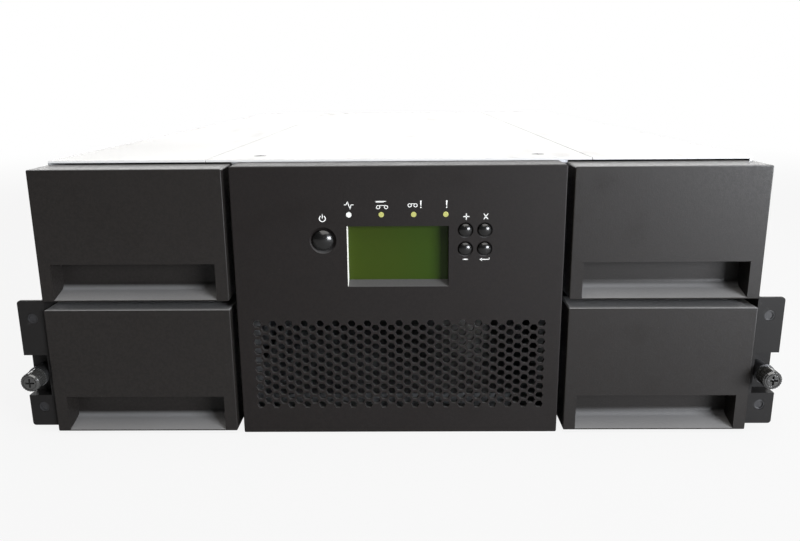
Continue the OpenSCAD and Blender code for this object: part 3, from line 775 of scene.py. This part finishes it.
CLEAR_LENS = LampLens("clear_lens", (0.62, 0.63, 0.60))
AMBER_LENS = LampLens("straw_lens", (0.34, 0.34, 0.10))
BOARD = CircuitBoard("circuit_board")
INK = PrintedInk("pale_ink", (0.62, 0.62, 0.60))
# Pale plastic of the painted highlight strip on the display window's left wall.
HIGHLIGHT_PLASTIC = MouldedPlastic("highlight_plastic", (0.55, 0.55, 0.50), 0.5)
LABEL = PaperLabel("cartridge_label", (0.72, 0.72, 0.69))
ORANGE = MouldedPlastic("orange_plastic", (0.50, 0.16, 0.015), 0.42)
BLACK_PLASTIC = MouldedPlastic("black_plastic", (0.010, 0.010, 0.011), 0.38)
TRAY_GREY = MouldedPlastic("tray_plastic", (0.045, 0.048, 0.052), 0.45)
RACK_NYLON = MouldedPlastic("rack_nylon", (0.35, 0.34, 0.31), 0.5)
MOTOR_CAN = PowderCoat("motor_can", (0.03, 0.03, 0.032), 0.34, 0.1)
GOLD_PINS = TurnedMetal("contact_pins", (0.80, 0.62, 0.26), 0.22)


def dress(finishes: Finishes, finish: object, nodes: Iterable[str], rounding: float = 0.0, steps: int = 2) -> None:
    """Give CAD nodes a finish and, if asked, rounded edges.

    Args:
        finishes: The store of materials.
        finish: The finish to give.
        nodes: Names of the nodes.
        rounding: Width of the edge rounding in metres.
        steps: Steps across the rounding.
    """
    for name in nodes:
        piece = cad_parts[name]
        piece.data.materials.clear()
        piece.data.materials.append(finishes.get(finish))
        if rounding:
            soften(piece, rounding, steps)
        log.info("dressed %s as %s", name, finish.name)


@dataclass
class Symbols:
    """Draws the printed symbols, in millimetres round a middle, on the fascia."""

    builder: Builder
    front: float
    back: float
    width: float

    def line(self, x: float, z: float, points: Sequence[Point], weight: float = 1.0) -> None:
        """Stroke a line.

        Args:
            x: Middle, along x.
            z: Middle, along z.
            points: The line's points in millimetres from the middle.
            weight: Factor on the line's width.
        """
        path = [(x + px * MM, z + pz * MM) for px, pz in points]
        self.builder.stroke(path, self.width * weight, self.front, self.back)

    def power(self, x: float, z: float, rise: float) -> None:
        """A broken ring with a stem, above a button."""
        self.builder.band((x, z + rise), 1.85 * MM, self.width * 1.25, self.front, self.back, 122, 296)
        self.line(x, z + rise, [(0, 0.2), (0, 2.6)], 1.25)

    def enter(self, x: float, z: float, rise: float) -> None:
        """An arrow to the left with its bent tail."""
        self.line(x, z + rise, [(-1.8, 0), (3.0, 0), (3.0, 1.0)], 1.2)
        tip = [(-2.9, 0.0), (-1.4, -1.0), (-1.4, 1.0)]
        self.builder.prism([(x + px * MM, z + rise + pz * MM) for px, pz in tip], self.front, self.back)

    def pulse(self, x: float, z: float) -> None:
        """A heartbeat line."""
        self.line(x, z, [(-2.8, 0.1), (-1.7, 0.1), (-0.8, 2.0), (0.75, -2.4), (1.4, 0.1), (2.8, 0.1)], 1.15)

    def reels(self, x: float, z: float, spread: float, tie: float) -> None:
        """Two reels joined near their tops.

        Args:
            x: Middle, along x.
            z: Middle, along z.
            spread: Half the distance between the reels in millimetres.
            tie: Height of the joining line in millimetres.
        """
        for side in (-1, 1):
            self.builder.band((x + side * spread * MM, z), 1.02 * MM, self.width, self.front, self.back)
        self.line(x, z, [(-spread + 0.5, tie), (spread - 0.5, tie)], 0.8)

    def loading(self, x: float, z: float) -> None:
        """Two reels under a cartridge's edge."""
        self.reels(x + 0.65 * MM, z, 2.4, 1.0)
        self.line(x, z + 3.5 * MM, [(-3.3, 0), (2.9, 0)], 1.2)
        self.line(x, z + 3.1 * MM, [(-3.0, 0), (1.6, 0)], 1.2)

    def alert(self, x: float, z: float) -> None:
        """An exclamation mark: a wedge over a dot."""
        wedge = [(-0.25, -0.9), (0.25, -0.9), (0.46, 2.3), (-0.46, 2.3)]
        self.builder.prism([(x + px * MM, z + pz * MM) for px, pz in wedge], self.front, self.back)
        self.builder.prism(circle(x, z - 1.9 * MM, 0.42 * MM, 16), self.front, self.back)


@dataclass
class Fascia:
    """The middle front: moulded panel, keys, lamps, display and printed marks."""

    finishes: Finishes
    ink_line: float = 0.42 * MM
    ink_lift: float = 0.04 * MM
    lamp_step: float = 19.67 * MM
    window_inset: float = 2.9 * MM

    def build(self) -> None:
        """Dress the panel and add its marks."""
        dress(self.finishes, FASCIA, ["front_bezel"])
        for name, radius, rounding in (("plus_key", 5.4, 0.7), ("minus_key", 5.4, 0.7), ("cancel_key", 5.4, 0.7),
                                       ("enter_key", 5.4, 0.7), ("power_button", 8.6, 1.0)):
            cap = KeyCap(f"{name}_cap", self._middle(name), radius * MM)
            dress(self.finishes, cap, [name], rounding * MM, 4)
        dress(self.finishes, CLEAR_LENS, ["ready_led"], 0.9 * MM, 4)
        dress(self.finishes, AMBER_LENS, ["status_leds"], 0.9 * MM, 4)
        self._display()
        self._marks()
        self._paint_window_highlight()

    def _display(self) -> None:
        """Dress the display's glass, frame and board."""
        low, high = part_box("display_glass")
        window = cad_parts["front_bezel"]
        glass = DisplayFace("display_face", (0.021, 0.034, 0.0012), low.x, high.x, low.z, high.z)
        dress(self.finishes, glass, ["display_glass"])
        dress(self.finishes, BLACK_PLASTIC, ["display_module"])
        dress(self.finishes, BOARD, ["control_board"])

    def _middle(self, name: str) -> Point:
        """Middle of a node in x and z."""
        low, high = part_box(name)
        return ((low.x + high.x) / 2, (low.z + high.z) / 2)

    def _marks(self) -> None:
        """Print the symbols over the lamps and by the keys."""
        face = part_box("front_bezel")[0].y
        marks = Symbols(Builder("printed_marks"), face - self.ink_lift, face + 0.1 * MM, self.ink_line)
        marks.power(*self._middle("power_button"), 13.6 * MM)
        x, z = self._middle("plus_key")
        marks.line(x + 0.4 * MM, z + 8.4 * MM, [(-1.7, 0), (1.7, 0)], 1.5)
        marks.line(x + 0.4 * MM, z + 8.4 * MM, [(0, -1.7), (0, 1.7)], 1.5)
        x, z = self._middle("cancel_key")
        marks.line(x + 0.5 * MM, z + 8.4 * MM, [(-1.2, -1.6), (1.2, 1.6)], 1.3)
        marks.line(x + 0.5 * MM, z + 8.4 * MM, [(-1.2, 1.6), (1.2, -1.6)], 1.3)
        x, z = self._middle("minus_key")
        marks.line(x + 0.2 * MM, z - 6.6 * MM, [(-1.3, 0), (1.3, 0)], 1.7)
        marks.enter(*self._middle("enter_key"), -6.7 * MM)
        x, z = self._middle("ready_led")
        marks.pulse(x + 0.1 * MM, z + 6.0 * MM)
        marks.loading(x + self.lamp_step, z + 4.6 * MM)
        marks.reels(x + 2 * self.lamp_step - 0.5 * MM, z + 5.6 * MM, 1.75, 1.0)
        marks.alert(x + 2 * self.lamp_step + 4.5 * MM, z + 6.2 * MM)
        marks.alert(x + 3 * self.lamp_step + 0.5 * MM, z + 6.2 * MM)
        marks.builder.make(self.finishes.get(INK), "case")

    def _paint_window_highlight(self) -> None:
        """Paint a pale strip along the left wall of the display window: a painted highlight where that wall catches
        the light.
        """
        glass, glass_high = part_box("display_glass")
        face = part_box("front_bezel")[0].y
        left = glass.x + self.window_inset
        # A pale strip on the left wall only, a painted highlight standing in for the light that wall catches.
        highlight_strip = Builder("window_highlight_strip")
        low, high = glass.z + 1.9 * MM, glass_high.z - 1.9 * MM
        highlight_strip.block((left, face + 0.5 * MM, low), (left + 0.35 * MM, glass.y - 0.1 * MM, high))
        highlight_strip.make(self.finishes.get(HIGHLIGHT_PLASTIC), "case", 0.08 * MM)


@dataclass
class Magazines:
    """The four pull-out magazines and the mail slot."""

    finishes: Finishes
    edge: float = 0.35 * MM

    def build(self) -> None:
        """Dress bezels, frames and cartridges."""
        bezels = ["upper_left_bezel", "upper_right_bezel", "lower_right_bezel", "io_station_bezel"]
        dress(self.finishes, CHARCOAL, bezels, self.edge)
        frames = ["upper_left_frame", "upper_right_frame", "lower_right_frame", "lower_left_frame"]
        dress(self.finishes, FRAME_GREY, [*frames, "io_station_carrier"])
        for group, body in (("upper_left", "upper_left_magazine"), ("upper_right", "upper_right_magazine"),
                            ("lower_right", "lower_right_magazine"), ("lower_left", "lower_left_magazine")):
            dress(self.finishes, SHELL, [f"{group}_cartridges"])


@dataclass
class Case:
    """The sheet metal case, its covers, ears and screws."""

    finishes: Finishes
    hole_x: float = 232.55 * MM
    hole_heights: tuple[float, float] = (18.2 * MM, 78.525 * MM)

    def build(self) -> None:
        """Dress every fixed sheet and fastener."""
        dress(self.finishes, ZINC, ["chassis_base", "side_wall_left", "side_wall_right"])
        dress(self.finishes, ZINC_REAR, ["rear_panel"])
        dress(self.finishes, ZINC_INNER, ["rear_cage", "magazine_bays", "front_frame"])
        dress(self.finishes, COVER, ["top_cover", "top_side_panels"], 0.3 * MM)
        dress(self.finishes, BLACK_OXIDE, ["cover_screws", "ear_screws"])
        dress(self.finishes, EAR_COAT, ["rack_ear_left", "rack_ear_right"], 0.3 * MM)
        dress(self.finishes, DARK_STEEL, ["screw_ferrules"])
        dress(self.finishes, KNOB_METAL, ["thumbscrew_left", "thumbscrew_right"], 0.12 * MM)
        dress(self.finishes, BRIGHT_STEEL, ["aisle_rails"])
        dress(self.finishes, RACK_NYLON, ["drive_rack"])
        self._plugs()

    def _plugs(self) -> None:
        """Put the dark push-in plugs into the rack holes of the ears."""
        radius = 3.4 * MM
        for side, name in ((-1, "left_ear_plugs"), (1, "right_ear_plugs")):
            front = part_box("rack_ear_left" if side < 0 else "rack_ear_right")[0].y
            plugs = Builder(name)
            for z in self.hole_heights:
                x = side * self.hole_x
                plugs.prism(circle(x, z, radius - 0.05 * MM, 40), front + 0.9 * MM, front + 1.7 * MM)
                plugs.band((x, z), radius - 0.45 * MM, 0.7 * MM, front + 0.25 * MM, front + 1.0 * MM)
            plugs.make(self.finishes.get(BLACK_PLASTIC), "case", 0.12 * MM)


@dataclass
class Picker:
    """The robot that carries cartridges along the aisle."""

    finishes: Finishes

    def build(self) -> None:
        """Dress the carriage, lift, turntable, tray and gripper."""
        dress(self.finishes, ROBOT_COAT, ["carriage_frame", "lift_platform"])
        dress(self.finishes, MOTOR_CAN, ["carriage_motor"], 0.5 * MM)
        dress(self.finishes, BRASS, ["carriage_pinion"])
        dress(self.finishes, SATIN_ALUMINIUM, ["turntable"])
        dress(self.finishes, TRAY_GREY, ["picker_tray"], 0.3 * MM)
        dress(self.finishes, ORANGE, ["gripper"], 0.3 * MM)
        dress(self.finishes, BLACK_PLASTIC, ["barcode_reader"], 0.3 * MM)


@dataclass
class RearModules:
    """Drives, power supplies and controller, pulled out from the rear."""

    finishes: Finishes

    def build(self) -> None:
        """Dress the modules."""
        dress(self.finishes, ZINC_REAR, ["lower_drive_sled", "upper_drive_sled", "lower_supply", "upper_supply"])
        dress(self.finishes, ZINC_INNER, ["lower_drive", "upper_drive"])
        dress(self.finishes, BLACK_PLASTIC, ["lower_supply_fan", "upper_supply_fan"])
        dress(self.finishes, BOARD, ["controller_card"])


@dataclass
class Studio:
    """Floor, lights and camera."""

    lens: float = 33.52
    place: tuple[float, float, float] = (0.00627, -0.44597, 0.22202)
    pitch: float = 0.247
    yaw: float = -0.012
    roll: float = -0.008

    def build(self, finishes: Finishes, front_y: float) -> None:
        """Set up the stage.

        Args:
            finishes: The store of materials.
            front_y: y of the magazine fronts.
        """
        self._floor(finishes)
        self._camera(front_y)
        self._lights(front_y)
        self._world()

    def _floor(self, finishes: Finishes) -> None:
        """Lay a wide pale floor."""
        data = bpy.data.meshes.new("floor")
        reach = 12.0
        data.from_pydata([(-reach, -reach, 0), (reach, -reach, 0), (reach, reach, 0), (-reach, reach, 0)], [], [(0, 1, 2, 3)])
        floor = bpy.data.objects.new("floor", data)
        bpy.context.scene.collection.objects.link(floor)
        floor.location.z = -0.0002
        data.materials.append(finishes.get(StudioPaper("floor_paper", (0.34, 0.34, 0.34))))

    def _camera(self, front_y: float) -> None:
        """Place the camera in front of the middle of the library."""
        lens = bpy.data.cameras.new("camera")
        lens.lens, lens.sensor_width = self.lens, 36.0
        lens.clip_start, lens.clip_end = 0.01, 60.0
        camera = bpy.data.objects.new("camera", lens)
        bpy.context.scene.collection.objects.link(camera)
        camera.location = (self.place[0], front_y + self.place[1], self.place[2])
        turn = Matrix.Rotation(-self.yaw, 4, "Z") @ Matrix.Rotation(math.pi / 2 - self.pitch, 4, "X")
        camera.rotation_euler = (turn @ Matrix.Rotation(self.roll, 4, "Z")).to_euler()
        bpy.context.scene.camera = camera

    def _lamp(
        self,
        name: str,
        place: Sequence[float],
        target: Sequence[float],
        size: Point,
        power: float,
        tint: Colour = (1.0, 1.0, 1.0),
    ) -> None:
        """Hang one soft rectangular lamp.

        Args:
            name: The lamp's name.
            place: Where it hangs.
            target: The point that it faces.
            size: Its width and height.
            power: Its power in watts.
            tint: Its colour.
        """
        data = bpy.data.lights.new(name, "AREA")
        data.color = tint
        data.shape = "RECTANGLE"
        data.size, data.size_y = size
        data.energy = power
        lamp = bpy.data.objects.new(name, data)
        bpy.context.scene.collection.objects.link(lamp)
        lamp.location = place
        lamp.visible_camera = False
        aim = Vector(target) - Vector(place)
        lamp.rotation_euler = aim.to_track_quat("-Z", "Y").to_euler()

    def _lights(self, front_y: float) -> None:
        """Hang the room's soft lamps."""
        self._lamp("ceiling", (0.2, front_y - 0.5, 2.3), (0.0, front_y + 0.1, 0.0), (2.6, 2.6), 74.0, (1.0, 0.975, 0.945))
        self._lamp("window", (1.32, front_y - 1.2, 0.42), (0.15, front_y, 0.12), (0.9, 0.6), 78.0, (0.92, 0.95, 1.0))
        self._lamp("far_wall", (0.0, front_y + 4.2, 0.9), (0.0, front_y, 0.15), (6.0, 1.7), 120.0)

    def _world(self) -> None:
        """Fill light from all round, seen as white by the camera."""
        world = bpy.data.worlds.new("room")
        bpy.context.scene.world = world
        world.use_nodes = True
        tree = world.node_tree
        tree.nodes.clear()
        path = tree.nodes.new("ShaderNodeLightPath")
        seen = tree.nodes.new("ShaderNodeMath")
        seen.operation = "MAXIMUM"
        tree.links.new(path.outputs["Is Camera Ray"], seen.inputs[0])
        tree.links.new(path.outputs["Is Transmission Ray"], seen.inputs[1])
        strength = tree.nodes.new("ShaderNodeMapRange")
        tree.links.new(seen.outputs[0], strength.inputs["Value"])
        strength.inputs["To Min"].default_value = 0.06
        strength.inputs["To Max"].default_value = 1.0
        background = tree.nodes.new("ShaderNodeBackground")
        background.inputs["Color"].default_value = (1.0, 1.0, 1.0, 1.0)
        tree.links.new(strength.outputs[0], background.inputs["Strength"])
        output = tree.nodes.new("ShaderNodeOutputWorld")
        tree.links.new(background.outputs[0], output.inputs["Surface"])
        bpy.context.scene.view_settings.view_transform = "Standard"


def main() -> None:
    """Build the looks."""
    logging.basicConfig(level=logging.INFO, format="%(message)s")
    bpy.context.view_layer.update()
    finishes = Finishes()
    front_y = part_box("upper_left_bezel")[0].y
    for part in (Case(finishes), Magazines(finishes), Fascia(finishes), Picker(finishes), RearModules(finishes)):
        part.build()
    Studio().build(finishes, front_y)


if __name__ == "__main__":
    main()
